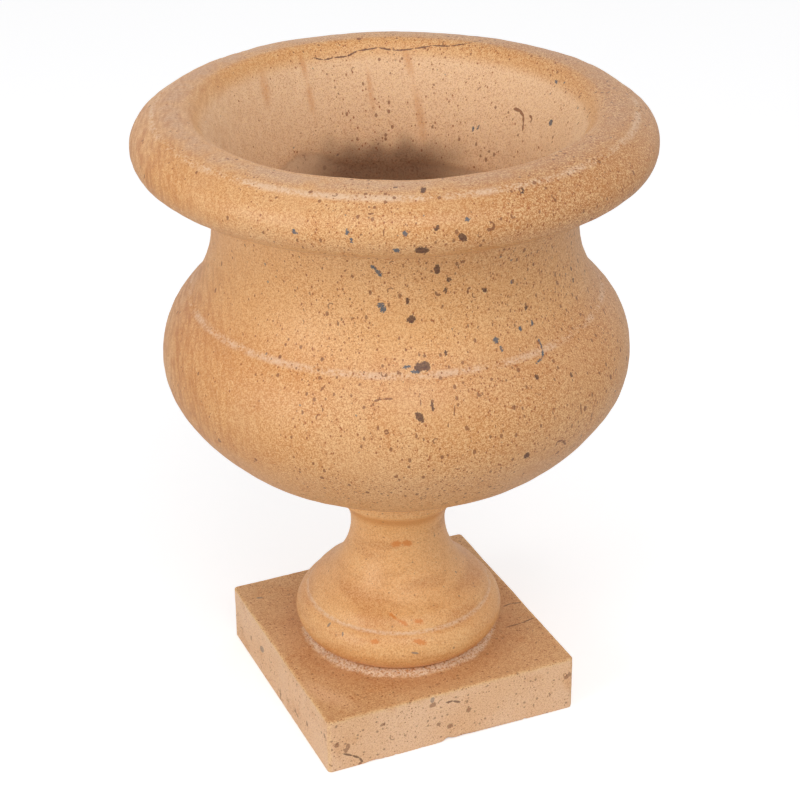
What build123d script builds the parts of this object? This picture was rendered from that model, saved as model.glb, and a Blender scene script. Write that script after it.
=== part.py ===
from build123d import *
import os

# A turned stone garden urn on a square plinth, in three stone pieces that are
# pinned and bedded on one another along the turning axis.
#
# Frame: Z is the turning axis, z = 0 is the plinth's underside, where the urn
# rests, and the plinth's sides run along X and Y. Millimetres throughout.
# A profile point is (radius, height).

# Plinth: a square slab with a low round seat carved in its top.
PLINTH_SIDE = 200.0
PLINTH_THICKNESS = 44.5
PLINTH_CORNER_RADIUS = 1.8
PLINTH_EDGE_RADIUS = 1.0
SEAT_RISE = 3.0
SEAT_FOOT_RADIUS = 75.0
SEAT_TOP_RADIUS = 68.0
SEAT_COVE_MID = (71.3, PLINTH_THICKNESS + 1.1)

# Beds: the thin layers of stone adhesive in the two joints.
BED_THICKNESS = 1.0
PLINTH_BED_RADIUS = 66.0
BOWL_BED_RADIUS = 46.5

SEAT_TOP = PLINTH_THICKNESS + SEAT_RISE
PEDESTAL_FOOT = SEAT_TOP + BED_THICKNESS

# Pedestal: torus, step, bell, stem and collar, from the bottom up.
TORUS_FOOT_RADIUS = 67.0
TORUS_WIDEST = (78.2, 68.0)
STEP = (69.4, 80.2)
BELL_EDGE = (61.0, 91.0)
STEM_WAIST = (35.4, 139.5)
COLLAR_RADIUS = 47.5
COLLAR_FOOT = 164.5
COLLAR_EDGE_RADIUS = 1.2

# Bowl, outside: foot, belly, neck and lip, from the bottom up.
BOWL_FOOT = 181.5
BOWL_FOOT_RADIUS = 9.0
BELLY_FOOT = (COLLAR_RADIUS, 191.5)
BELLY_TURN = (158.0, 253.5)
BELLY_WIDEST = (167.7, 285.5)
BELLY_SHOULDER = (163.5, 307.5)
BELLY_CREASE = (146.4, 332.0)
NECK_WAIST = (129.0, 377.0)
NECK_TOP = (136.8, 417.0)
NECK_TOP_RADIUS = 4.0
LIP_ROLL_FOOT = (173.1, 428.5)
LIP_ROLL_TOP = (174.2, 457.5)
LIP_CREASE = (165.5, 464.0)
CREST = (153.2, 467.1)

# Bowl, inside: flared mouth, throat, basin and floor.
MOUTH_EDGE = (140.2, 466.7)
MOUTH_EDGE_RADIUS = 5.0
THROAT = (108.0, 380.0)
BASIN_WIDEST = (126.0, 304.0)
BASIN_TURN = (98.0, 254.0)
FLOOR_EDGE = (46.0, 240.0)

# Pins: plain steel dowels set in adhesive in drilled holes.
DOWEL_RADIUS = 6.0
DOWEL_CHAMFER = 1.0
BORE_RADIUS = 8.0
BORE_END_GAP = 2.0
DOWEL_REACH_PLINTH = 32.0
DOWEL_REACH_PEDESTAL = 45.0
DOWEL_REACH_BOWL = 34.0

PEDESTAL_TOP = BOWL_FOOT - BED_THICKNESS

# Both ends of each pin and of the hole that it stands in.
LOWER_DOWEL_FOOT = SEAT_TOP - DOWEL_REACH_PLINTH
LOWER_DOWEL_HEAD = PEDESTAL_FOOT + DOWEL_REACH_PEDESTAL
UPPER_DOWEL_FOOT = PEDESTAL_TOP - DOWEL_REACH_PEDESTAL
UPPER_DOWEL_HEAD = BOWL_FOOT + DOWEL_REACH_BOWL
LOWER_BORE_FOOT = LOWER_DOWEL_FOOT - BORE_END_GAP
LOWER_BORE_HEAD = LOWER_DOWEL_HEAD + BORE_END_GAP
UPPER_BORE_FOOT = UPPER_DOWEL_FOOT - BORE_END_GAP
UPPER_BORE_HEAD = UPPER_DOWEL_HEAD + BORE_END_GAP

UP = (0, 1)
DOWN = (0, -1)
INWARD = (-1, 0)


# Plinth: the slab, its round seat with a coved side, and the hole for the pin.
with BuildPart() as plinth:
    with BuildSketch(Plane.XY):
        Rectangle(PLINTH_SIDE, PLINTH_SIDE)
    extrude(amount=PLINTH_THICKNESS)
    fillet(plinth.edges().filter_by(Axis.Z), PLINTH_CORNER_RADIUS)
    level_edges = plinth.edges().filter_by(Axis.Z, reverse=True)
    fillet(level_edges, PLINTH_EDGE_RADIUS)
    with BuildSketch(Plane.XZ):
        with BuildLine():
            seat_cove = ThreePointArc(
                (SEAT_FOOT_RADIUS, PLINTH_THICKNESS), SEAT_COVE_MID, (SEAT_TOP_RADIUS, SEAT_TOP)
            )
            Polyline(seat_cove @ 1, (0, SEAT_TOP), (0, PLINTH_THICKNESS), seat_cove @ 0)
        make_face()
    revolve(axis=Axis.Z)
    with BuildSketch(Plane.XY.offset(LOWER_BORE_FOOT)):
        Circle(BORE_RADIUS)
    extrude(amount=SEAT_TOP - LOWER_BORE_FOOT, mode=Mode.SUBTRACT)
plinth.part.label = "plinth"


# Pedestal: a fat torus, a quirked step, a bell that sweeps up into the stem,
# and a plain collar that carries the bowl.
with BuildPart() as pedestal:
    with BuildSketch(Plane.XZ):
        with BuildLine():
            torus = ThreePointArc((TORUS_FOOT_RADIUS, PEDESTAL_FOOT), TORUS_WIDEST, STEP)
            bell = TangentArc(STEM_WAIST, BELL_EDGE, tangent=DOWN)
            TangentArc(BELL_EDGE, STEP, tangent=bell % 1)
            cove = TangentArc(STEM_WAIST, (COLLAR_RADIUS, COLLAR_FOOT), tangent=UP)
            Polyline(
                cove @ 1,
                (COLLAR_RADIUS, PEDESTAL_TOP),
                (0, PEDESTAL_TOP),
                (0, PEDESTAL_FOOT),
                torus @ 0,
            )
        make_face()
    revolve(axis=Axis.Z)
    collar_edge = pedestal.edges().filter_by(GeomType.CIRCLE).filter_by_position(
        Axis.Z, COLLAR_FOOT, COLLAR_FOOT
    )
    fillet(collar_edge, COLLAR_EDGE_RADIUS)
    with BuildSketch(Plane.XY.offset(PEDESTAL_FOOT)):
        Circle(BORE_RADIUS)
    extrude(amount=LOWER_BORE_HEAD - PEDESTAL_FOOT, mode=Mode.SUBTRACT)
    with BuildSketch(Plane.XY.offset(UPPER_BORE_FOOT)):
        Circle(BORE_RADIUS)
    extrude(amount=PEDESTAL_TOP - UPPER_BORE_FOOT, mode=Mode.SUBTRACT)
pedestal.part.label = "pedestal"


# Bowl: foot, belly, scotia neck and rolled lip outside; flared mouth, throat
# and round-floored basin inside. The floor is left thick, to take the pin.
with BuildPart() as bowl:
    with BuildSketch(Plane.XZ):
        with BuildLine():
            belly_turn = TangentArc(BELLY_WIDEST, BELLY_TURN, tangent=DOWN)
            TangentArc(BELLY_TURN, BELLY_FOOT, tangent=belly_turn % 1)
            ThreePointArc(BELLY_WIDEST, BELLY_SHOULDER, BELLY_CREASE)
            ThreePointArc(BELLY_CREASE, NECK_WAIST, NECK_TOP)
            lip_slope = Line(LIP_CREASE, LIP_ROLL_TOP)
            lip_roll = TangentArc(LIP_ROLL_TOP, LIP_ROLL_FOOT, tangent=lip_slope % 1)
            TangentArc(LIP_ROLL_FOOT, NECK_TOP, tangent=lip_roll % 1)
            ThreePointArc(LIP_CREASE, CREST, MOUTH_EDGE)
            TangentArc(THROAT, MOUTH_EDGE, tangent=UP)
            Spline(THROAT, BASIN_WIDEST, BASIN_TURN, FLOOR_EDGE, tangents=[DOWN, INWARD])
            Polyline(
                FLOOR_EDGE,
                (0, FLOOR_EDGE[1]),
                (0, BOWL_FOOT),
                (COLLAR_RADIUS, BOWL_FOOT),
                BELLY_FOOT,
            )
        make_face()
    revolve(axis=Axis.Z)
    rings = bowl.edges().filter_by(GeomType.CIRCLE)
    fillet(rings.filter_by_position(Axis.Z, NECK_TOP[1], NECK_TOP[1]), NECK_TOP_RADIUS)
    rings = bowl.edges().filter_by(GeomType.CIRCLE)
    fillet(rings.filter_by_position(Axis.Z, MOUTH_EDGE[1], MOUTH_EDGE[1]), MOUTH_EDGE_RADIUS)
    rings = bowl.edges().filter_by(GeomType.CIRCLE)
    fillet(rings.filter_by_position(Axis.Z, BELLY_FOOT[1], BELLY_FOOT[1]), BOWL_FOOT_RADIUS)
    with BuildSketch(Plane.XY.offset(BOWL_FOOT)):
        Circle(BORE_RADIUS)
    extrude(amount=UPPER_BORE_HEAD - BOWL_FOOT, mode=Mode.SUBTRACT)
bowl.part.label = "bowl"


# Lower pin, between the plinth and the pedestal.
with BuildPart() as plinth_dowel:
    with BuildSketch(Plane.XY.offset(LOWER_DOWEL_FOOT)):
        Circle(DOWEL_RADIUS)
    extrude(amount=LOWER_DOWEL_HEAD - LOWER_DOWEL_FOOT)
    chamfer(plinth_dowel.edges().filter_by(GeomType.CIRCLE), DOWEL_CHAMFER)
plinth_dowel.part.label = "plinth_dowel"


# Upper pin, between the pedestal and the bowl.
with BuildPart() as bowl_dowel:
    with BuildSketch(Plane.XY.offset(UPPER_DOWEL_FOOT)):
        Circle(DOWEL_RADIUS)
    extrude(amount=UPPER_DOWEL_HEAD - UPPER_DOWEL_FOOT)
    chamfer(bowl_dowel.edges().filter_by(GeomType.CIRCLE), DOWEL_CHAMFER)
bowl_dowel.part.label = "bowl_dowel"


# Adhesive that fills the lower holes round and past the lower pin.
with BuildPart() as plinth_dowel_grout:
    with BuildSketch(Plane.XY.offset(LOWER_BORE_FOOT)):
        Circle(BORE_RADIUS)
    extrude(amount=LOWER_BORE_HEAD - LOWER_BORE_FOOT)
    add(plinth_dowel.part, mode=Mode.SUBTRACT)
plinth_dowel_grout.part.label = "plinth_dowel_grout"


# Adhesive that fills the upper holes round and past the upper pin.
with BuildPart() as bowl_dowel_grout:
    with BuildSketch(Plane.XY.offset(UPPER_BORE_FOOT)):
        Circle(BORE_RADIUS)
    extrude(amount=UPPER_BORE_HEAD - UPPER_BORE_FOOT)
    add(bowl_dowel.part, mode=Mode.SUBTRACT)
bowl_dowel_grout.part.label = "bowl_dowel_grout"


# Bed under the pedestal, kept just inside the torus's foot.
with BuildPart() as plinth_bed:
    with BuildSketch(Plane.XY.offset(SEAT_TOP)):
        Circle(PLINTH_BED_RADIUS)
        Circle(BORE_RADIUS, mode=Mode.SUBTRACT)
    extrude(amount=BED_THICKNESS)
plinth_bed.part.label = "plinth_bed"


# Bed under the bowl, kept just inside the collar.
with BuildPart() as bowl_bed:
    with BuildSketch(Plane.XY.offset(PEDESTAL_TOP)):
        Circle(BOWL_BED_RADIUS)
        Circle(BORE_RADIUS, mode=Mode.SUBTRACT)
    extrude(amount=BED_THICKNESS)
bowl_bed.part.label = "bowl_bed"


pieces = [
    plinth,
    pedestal,
    bowl,
    plinth_dowel,
    bowl_dowel,
    plinth_dowel_grout,
    bowl_dowel_grout,
    plinth_bed,
    bowl_bed,
]
os.makedirs("parts", exist_ok=True)
for piece in pieces:
    export_step(piece.part, f"parts/{piece.part.label}.step")
    print(f"{piece.part.label}: {piece.part.volume / 1000:.1f} cm3")
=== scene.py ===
# %% [markdown]
# # A turned stone garden urn
# Three pieces of honey-coloured limestone are stacked on steel pins: a sawn plinth, a turned
# pedestal and a turned bowl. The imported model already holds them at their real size. This
# lesson gives them the surfaces that a stone turner leaves: honed faces with a little wander
# in them, softened arrises, a dressed inside, and stone that is full of tiny fossils.

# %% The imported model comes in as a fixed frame
import math

import bpy
import numpy as np
from mathutils import Matrix, Vector
from mathutils.bvhtree import BVHTree


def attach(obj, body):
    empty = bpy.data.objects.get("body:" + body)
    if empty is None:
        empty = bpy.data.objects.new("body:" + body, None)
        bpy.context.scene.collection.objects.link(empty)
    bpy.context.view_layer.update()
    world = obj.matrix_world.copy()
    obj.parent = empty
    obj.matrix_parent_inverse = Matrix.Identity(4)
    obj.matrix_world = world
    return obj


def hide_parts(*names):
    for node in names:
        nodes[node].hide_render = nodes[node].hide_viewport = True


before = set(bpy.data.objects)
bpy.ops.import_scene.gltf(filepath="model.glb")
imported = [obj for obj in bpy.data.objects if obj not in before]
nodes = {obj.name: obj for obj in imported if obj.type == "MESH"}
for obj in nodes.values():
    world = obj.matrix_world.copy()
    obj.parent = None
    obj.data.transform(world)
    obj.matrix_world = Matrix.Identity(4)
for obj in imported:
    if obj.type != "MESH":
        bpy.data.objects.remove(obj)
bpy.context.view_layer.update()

print("the frame holds", sorted(nodes))

# %% [markdown]
# ## The camera
# The urn was seen from a little above its rim, through a long lens. The camera stands in front
# of one corner of the plinth. Its distance, height and tilt were worked out from the plinth's
# corners and from the ellipses that the turned edges make, so a line of sight through a pixel
# of the picture meets the same spot of stone here as there.

# %% The camera stands where the picture was taken
SLAB_TURN = math.radians(23.501)
EYE_DISTANCE = 1.3627
EYE_HEIGHT = 0.9487
PITCH = math.radians(27.537)
YAW = math.radians(0.095)
ROLL = math.radians(-0.433)
LENS_MM = 94.463
SENSOR_MM = 36.0
PICTURE_PIXELS = 800
FOCAL_PIXELS = LENS_MM / SENSOR_MM * PICTURE_PIXELS

turn = Matrix.Rotation(-SLAB_TURN, 3, "Z")
level_right = Vector((math.cos(YAW), -math.sin(YAW), 0.0))
ahead = Vector((math.sin(YAW) * math.cos(PITCH), math.cos(YAW) * math.cos(PITCH), -math.sin(PITCH)))
level_up = level_right.cross(ahead)
right = turn @ (math.cos(ROLL) * level_right + math.sin(ROLL) * level_up)
up = turn @ (math.cos(ROLL) * level_up - math.sin(ROLL) * level_right)
ahead = turn @ ahead
eye = turn @ Vector((0.0, -EYE_DISTANCE, EYE_HEIGHT))

camera = bpy.data.objects.new("camera", bpy.data.cameras.new("camera"))
camera.data.lens = LENS_MM
camera.data.sensor_width = SENSOR_MM
camera.data.sensor_fit = "HORIZONTAL"
camera.matrix_world = Matrix.Translation(eye) @ Matrix((right, up, -ahead)).transposed().to_4x4()
bpy.context.scene.collection.objects.link(camera)
bpy.context.scene.camera = camera
print("the camera stands at", [round(v, 3) for v in eye])


def sight(pixel):
    """The direction of the line of sight through a pixel: ahead, plus a share of right and of
    down for how far the pixel lies from the middle of the picture."""
    across = (pixel[0] - PICTURE_PIXELS / 2) / FOCAL_PIXELS
    down = (pixel[1] - PICTURE_PIXELS / 2) / FOCAL_PIXELS
    return (ahead + right * across - up * down).normalized()

# %% [markdown]
# ## Lines and arcs for a turner's template
# A turner cuts each piece to a flat template whose edge is a chain of straight lines and arcs.
# A template here is a list of (radius, height) points worked out from a few named ones. Where
# two stretches meet at an angle, the corner is rounded by a fraction of a millimetre, because
# honed stone has no knife edges and a soft arris catches the light.

# %% Stretches of a template
def steps_for(length, spacing):
    """How many steps of about that spacing a stretch takes."""
    return max(2, int(math.ceil(length / spacing)))


def straight(start, end, spacing=0.002):
    """Points along the straight line from start to end."""
    start, end = np.array(start), np.array(end)
    share = np.linspace(0, 1, steps_for(np.hypot(*(end - start)), spacing) + 1)
    return start + share[:, None] * (end - start)


def swept(centre, radius, first, sweep, spacing):
    """Points on a circle: centre plus radius times the cosine and sine of a growing angle."""
    share = np.linspace(0, 1, steps_for(abs(sweep) * radius, spacing) + 1)
    angle = first + share * sweep
    return centre + radius * np.stack([np.cos(angle), np.sin(angle)], axis=1)


def arc_through(start, middle, end, spacing=0.002):
    """The arc of the circle through three points. Its centre is as far from each of them."""
    start, middle, end = (np.array(p) for p in (start, middle, end))
    centre = np.linalg.solve(
        2 * np.array([middle - start, end - start]),
        [middle @ middle - start @ start, end @ end - start @ start],
    )
    first, halfway, last = (math.atan2(*(p - centre)[::-1]) for p in (start, middle, end))
    sweep = (last - first) % math.tau
    if (halfway - first) % math.tau > sweep:
        sweep -= math.tau
    return swept(centre, np.hypot(*(start - centre)), first, sweep, spacing)


def arc_leaving(start, end, heading, spacing=0.002):
    """The arc that leaves start along a heading and reaches end. Its centre lies square to
    the heading, at the chord squared over twice the chord's share in that direction."""
    start, end, heading = (np.array(p, float) for p in (start, end, heading))
    left = np.array([-heading[1], heading[0]]) / np.hypot(*heading)
    chord = end - start
    reach = chord @ chord / (2 * chord @ left)
    centre = start + reach * left
    first, last = (math.atan2(*(p - centre)[::-1]) for p in (start, end))
    sweep = (last - first) % math.tau if reach > 0 else -((first - last) % math.tau)
    return swept(centre, abs(reach), first, sweep, spacing)


def flowing(points, first_heading, last_heading, spacing=0.002):
    """A smooth curve through points: on each chord, the cubic that has the slopes of its two
    ends. The inner slopes are the ones that leave no jump in curvature, and the first and last
    are given."""
    points = np.array(points, float)
    chord = np.hypot(*np.diff(points, axis=0).T)
    rows, sides = np.eye(len(points)), np.zeros_like(points)
    sides[0], sides[-1] = first_heading, last_heading
    for i in range(1, len(points) - 1):
        before, after = chord[i - 1], chord[i]
        rows[i, i - 1 : i + 2] = 1 / before, 2 / before + 2 / after, 1 / after
        rise, next_rise = points[i] - points[i - 1], points[i + 1] - points[i]
        sides[i] = 3 * (rise / before ** 2 + next_rise / after ** 2)
    slopes = np.linalg.solve(rows, sides)
    pieces = [points[:1]]
    for i, length in enumerate(chord):
        t = np.linspace(0, 1, steps_for(length, spacing) + 1)[1:, None]
        start, end = points[i], points[i + 1]
        leaving, arriving = slopes[i] * length, slopes[i + 1] * length
        pieces.append(
            (2 * t ** 3 - 3 * t ** 2 + 1) * start + (t ** 3 - 2 * t ** 2 + t) * leaving
            + (3 * t ** 2 - 2 * t ** 3) * end + (t ** 3 - t ** 2) * arriving
        )
    return np.vstack(pieces)


def heading_at_end(stretch):
    """The direction in which a stretch arrives at its last point."""
    return stretch[-1] - stretch[-2]


# %% A template with soft arrises
ARRIS = 0.0005
ARRIS_SPACING = 0.0009
CLEAR_OF_ARRIS = 1.05
SHARP_TURN = math.radians(14)


def heading_of(step):
    """The step as a unit vector."""
    return step / np.hypot(*step)


def template(*stretches, softer=None):
    """The stretches end to end. Where the heading turns sharply, the points within one arris of
    the corner give way to the curve (1-t)^2 before + 2t(1-t) corner + t^2 after."""
    points = [stretches[0]]
    for stretch in stretches[1:]:
        corner = stretch[0]
        arris = (softer or {}).get(tuple(np.round(corner, 5)), ARRIS)
        before, after = heading_of(heading_at_end(points[-1])), heading_of(stretch[1] - corner)
        if math.acos(np.clip(before @ after, -1, 1)) < SHARP_TURN:
            points.append(stretch[1:])
            continue
        kept = points[-1][np.hypot(*(points[-1] - corner).T) > arris * CLEAR_OF_ARRIS]
        rest = stretch[np.hypot(*(stretch - corner).T) > arris * CLEAR_OF_ARRIS]
        t = np.linspace(0, 1, steps_for(arris, ARRIS_SPACING) + 1)[:, None]
        bend = 2 * t * (1 - t) * corner
        curve = (1 - t) ** 2 * (corner - before * arris) + bend + t ** 2 * (corner + after * arris)
        points[-1] = kept
        points += [curve, rest]
    return np.vstack(points)

# %% [markdown]
# ## The templates of the bowl and the pedestal
# All heights are above the floor, and all sizes are in metres. The bowl's template starts at
# the top of its pin hole, goes out along its foot, up the belly, neck and rolled lip, and back
# down inside to the middle of the floor. The pedestal's goes round both of its pin holes. The
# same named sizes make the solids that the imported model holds.

# %% The bowl's template
PIN_HOLE_RADIUS = 0.008
BOWL_PIN_HOLE_TOP = (0.0, 0.2175)
BOWL_FOOT = 0.1815
BELLY_FOOT = (0.0475, 0.1915)
BELLY_TURN = (0.158, 0.2535)
BELLY_WIDEST = (0.1677, 0.2855)
BELLY_SHOULDER = (0.1635, 0.3075)
BELLY_CREASE = (0.1464, 0.332)
NECK_WAIST = (0.129, 0.377)
NECK_TOP = (0.1368, 0.417)
LIP_ROLL_FOOT = (0.1731, 0.4285)
LIP_ROLL_TOP = (0.1742, 0.4575)
LIP_CREASE = (0.1655, 0.464)
CREST = (0.1532, 0.4671)
MOUTH_EDGE = (0.1402, 0.4667)
MOUTH_EDGE_ARRIS = 0.004
THROAT = (0.108, 0.380)
BASIN_WIDEST = (0.126, 0.304)
BASIN_TURN = (0.098, 0.254)
BOWL_FLOOR_EDGE = (0.046, 0.240)
BOWL_FLOOR_MIDDLE = (0.0, 0.240)
UPWARDS, DOWNWARDS, INWARDS = (0.0, 1.0), (0.0, -1.0), (-1.0, 0.0)

middle_belly = arc_leaving(BELLY_WIDEST, BELLY_TURN, DOWNWARDS, 0.0028)
low_belly = arc_leaving(BELLY_TURN, BELLY_FOOT, heading_at_end(middle_belly), 0.0032)
lip_edge = straight(LIP_CREASE, LIP_ROLL_TOP, 0.0025)
lip_roll = arc_leaving(LIP_ROLL_TOP, LIP_ROLL_FOOT, heading_at_end(lip_edge), 0.0018)
lip_under = arc_leaving(LIP_ROLL_FOOT, NECK_TOP, heading_at_end(lip_roll), 0.0026)
flare = arc_leaving(THROAT, MOUTH_EDGE, UPWARDS, 0.0028)
basin = flowing((THROAT, BASIN_WIDEST, BASIN_TURN, BOWL_FLOOR_EDGE), DOWNWARDS, INWARDS, 0.0042)

bowl_template = template(
    straight(BOWL_PIN_HOLE_TOP, (PIN_HOLE_RADIUS, BOWL_PIN_HOLE_TOP[1]), 0.004),
    straight((PIN_HOLE_RADIUS, BOWL_PIN_HOLE_TOP[1]), (PIN_HOLE_RADIUS, BOWL_FOOT), 0.012),
    straight((PIN_HOLE_RADIUS, BOWL_FOOT), (BELLY_FOOT[0], BOWL_FOOT), 0.010),
    straight((BELLY_FOOT[0], BOWL_FOOT), BELLY_FOOT, 0.005),
    low_belly[::-1],
    middle_belly[::-1],
    arc_through(BELLY_WIDEST, BELLY_SHOULDER, BELLY_CREASE, 0.0026),
    arc_through(BELLY_CREASE, NECK_WAIST, NECK_TOP, 0.0026),
    lip_under[::-1],
    lip_roll[::-1],
    lip_edge[::-1],
    arc_through(LIP_CREASE, CREST, MOUTH_EDGE, 0.0022),
    flare[::-1],
    basin,
    straight(BOWL_FLOOR_EDGE, BOWL_FLOOR_MIDDLE, 0.009),
    softer={MOUTH_EDGE: MOUTH_EDGE_ARRIS},
)
print("the bowl's template has", len(bowl_template), "points")

# %% The pedestal's template
PEDESTAL_FOOT = 0.0485
LOWER_PIN_HOLE_TOP = (0.0, 0.0955)
UPPER_PIN_HOLE_FLOOR = (0.0, 0.1335)
TORUS_FOOT = (0.067, PEDESTAL_FOOT)
TORUS_WIDEST = (0.0782, 0.068)
STEP = (0.0694, 0.0802)
BELL_EDGE = (0.061, 0.091)
STEM_WAIST = (0.0354, 0.1395)
COLLAR_FOOT = (0.0475, 0.1645)
PEDESTAL_TOP = 0.1805

bell = arc_leaving(STEM_WAIST, BELL_EDGE, DOWNWARDS, 0.0016)
pedestal_template = template(
    straight(LOWER_PIN_HOLE_TOP, (PIN_HOLE_RADIUS, LOWER_PIN_HOLE_TOP[1]), 0.004),
    straight((PIN_HOLE_RADIUS, LOWER_PIN_HOLE_TOP[1]), (PIN_HOLE_RADIUS, PEDESTAL_FOOT), 0.012),
    straight((PIN_HOLE_RADIUS, PEDESTAL_FOOT), TORUS_FOOT, 0.010),
    arc_through(TORUS_FOOT, TORUS_WIDEST, STEP, 0.0010),
    arc_leaving(BELL_EDGE, STEP, heading_at_end(bell), 0.0008)[::-1],
    bell[::-1],
    arc_leaving(STEM_WAIST, COLLAR_FOOT, UPWARDS, 0.0012),
    straight(COLLAR_FOOT, (COLLAR_FOOT[0], PEDESTAL_TOP), 0.0025),
    straight((COLLAR_FOOT[0], PEDESTAL_TOP), (PIN_HOLE_RADIUS, PEDESTAL_TOP), 0.008),
    straight((PIN_HOLE_RADIUS, PEDESTAL_TOP), (PIN_HOLE_RADIUS, UPPER_PIN_HOLE_FLOOR[1]), 0.012),
    straight((PIN_HOLE_RADIUS, UPPER_PIN_HOLE_FLOOR[1]), UPPER_PIN_HOLE_FLOOR, 0.004),
)
print("the pedestal's template has", len(pedestal_template), "points")

# %% [markdown]
# ## From a template to a surface
# A lathe turns the template about the upright axis, which makes a grid of points: one row for
# each template point, one column for each angle. Rows of four-sided faces join the points, and
# a fan closes each end on the axis. A Screw modifier could do the same, but a grid of numbers
# can also be carved, which is how the small irregularities of hand work get in.

# %% Turning a template and skinning a grid
def turned(points, columns):
    """Grid point (i, j) is template point i at angle j: radius times cosine, radius times
    sine, and height."""
    angle = np.arange(columns) * math.tau / columns
    radius, height = points[:, :1], points[:, 1:]
    level = np.broadcast_to(height, (len(points), columns))
    return np.stack([radius * np.cos(angle), radius * np.sin(angle), level], axis=2)


def outward(grid):
    """Unit normals of a grid: the step round the piece crossed with the step along the
    template, each taken between the neighbours on both sides."""
    round_step = np.roll(grid, -1, axis=1) - np.roll(grid, 1, axis=1)
    along_step = np.gradient(grid, axis=0)
    normal = np.cross(round_step, along_step)
    return normal / np.maximum(np.linalg.norm(normal, axis=2, keepdims=True), 1e-12)


def skinned(name, grid):
    """The mesh object of a grid whose first and last rows have shrunk to points on the axis:
    fans at both ends, and a four-sided face for each cell between."""
    rows, columns = grid.shape[0] - 2, grid.shape[1]
    body = grid[1:-1].reshape(-1, 3)
    points = np.vstack([body, grid[0].mean(axis=0), grid[-1].mean(axis=0)])
    index = np.arange(rows * columns).reshape(rows, columns)
    beside = np.roll(index, -1, axis=1)
    cells = np.stack([index[:-1], beside[:-1], beside[1:], index[1:]], axis=2).reshape(-1, 4)
    low_fan = [[rows * columns, b, a] for a, b in zip(index[0].tolist(), beside[0].tolist())]
    high_fan = [[rows * columns + 1, a, b] for a, b in zip(index[-1].tolist(), beside[-1].tolist())]
    mesh = bpy.data.meshes.new(name)
    mesh.from_pydata(points.tolist(), [], cells.tolist() + low_fan + high_fan)
    mesh.shade_smooth()
    piece = bpy.data.objects.new(name, mesh)
    bpy.context.scene.collection.objects.link(piece)
    corners = points[cells]
    volume = np.einsum("ij,ij->i", corners[:, 0], np.cross(corners[:, 1], corners[:, 2])).sum() / 6
    volume += np.einsum("ij,ij->i", corners[:, 0], np.cross(corners[:, 2], corners[:, 3])).sum() / 6
    print(name, "has", len(mesh.polygons), "faces and holds", round(volume * 1e6), "cubic cm")
    return piece

# %% [markdown]
# ## The small wander of hand work
# No honed surface is perfectly true. Under soft light, it is the wander of a few tenths of a
# millimetre that makes stone look like stone. A smooth random field gives it: a sum of plane
# waves of about one wavelength in random directions. It is a function of the place alone, so
# it has no seam and gives the same result on every run.

# %% A smooth random field
def ripples(points, wavelength, seed, waves=28):
    """The sum of plane waves of about one wavelength in random directions and phases, scaled
    so that it mostly stays between -1 and 1."""
    dice = np.random.default_rng(seed)
    heading = dice.normal(size=(waves, 3))
    heading /= np.linalg.norm(heading, axis=1, keepdims=True)
    pace = math.tau / (wavelength * dice.uniform(0.75, 1.3, size=waves))
    phase = dice.uniform(0, math.tau, size=waves)
    flat = points.reshape(-1, 3)
    total = np.zeros(len(flat))
    for direction, quickness, shift in zip(heading, pace, phase):
        total += np.cos(flat @ direction * quickness + shift)
    return (total / math.sqrt(waves)).reshape(points.shape[:-1])


def eased(value, low, high):
    """Nothing below low, one above high, and a smooth S between: t * t * (3 - 2 t)."""
    share = np.clip((value - low) / (high - low), 0, 1)
    return share * share * (3 - 2 * share)


def near(grid, spot, reach):
    """One at a (radius, height) spot of the template, falling smoothly to nothing at reach."""
    away = np.hypot(np.hypot(grid[..., 0], grid[..., 1]) - spot[0], grid[..., 2] - spot[1])
    return 1 - eased(away, 0, reach)


def painted(piece, name, field, poles):
    """Keeps a number for each point of the piece's grid, for its stone to read."""
    layer = piece.data.attributes.new(name, "FLOAT", "POINT")
    layer.data.foreach_set("value", np.append(field[1:-1].ravel(), poles))


# %% The bowl
BOWL_COLUMNS = 356
WANDER = 0.00028
TOOLING = 0.00009
DRESSING = 0.00022
ARRIS_WEAR = 0.0007
PIN_HOLE_SURROUND = PIN_HOLE_RADIUS * 1.5
FREE_HEIGHTS = (BOWL_FOOT + 0.004, BOWL_FOOT + 0.016)
DRESSED_RIM = (0.452, 0.463)
HOLLOW_RIM = (0.453, 0.464)
SHADE_UPPER_EDGE = (0.384, 0.410)
SHADE_LOWER_EDGE = (0.325, 0.378)
DRESSED_LINE = 0.3815
DRESSED_LINE_WANDER = 0.0016
DRESSED_STEP = 0.0012
SCALLOP_PLACE = math.radians(106)
SCALLOP_REACH = math.radians(26)
SCALLOP_RISE = 0.0165
SHADE_PLACE = math.radians(71)
SHADE_REACH = math.radians(42)

bowl_grid = turned(bowl_template, BOWL_COLUMNS)
bowl_normal = outward(bowl_grid)
crest_row = int(np.argmax(bowl_template[:, 1]))
bowl_height = bowl_grid[..., 2]
inside = (np.arange(len(bowl_template)) > crest_row)[:, None] * 1.0
held = eased(bowl_height, *FREE_HEIGHTS)
bowl_radius = np.hypot(bowl_grid[..., 0], bowl_grid[..., 1])
held = np.where(bowl_radius < PIN_HOLE_SURROUND, inside, held)
azimuth = np.arctan2(bowl_grid[..., 1], bowl_grid[..., 0])
scallop = 1 - eased(np.abs(azimuth - SCALLOP_PLACE), 0, SCALLOP_REACH)
line = DRESSED_LINE + SCALLOP_RISE * scallop
line = line + DRESSED_LINE_WANDER * ripples(bowl_grid * [1, 1, 0], 0.03, 5)
below_line = inside * (1 - eased(bowl_height, line - 0.0015, line + 0.0015))
dressed = inside * (1 - below_line) * (1 - eased(bowl_height, *DRESSED_RIM))
wear = near(bowl_grid, LIP_CREASE, 0.004) + near(bowl_grid, BELLY_CREASE, 0.005)
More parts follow.
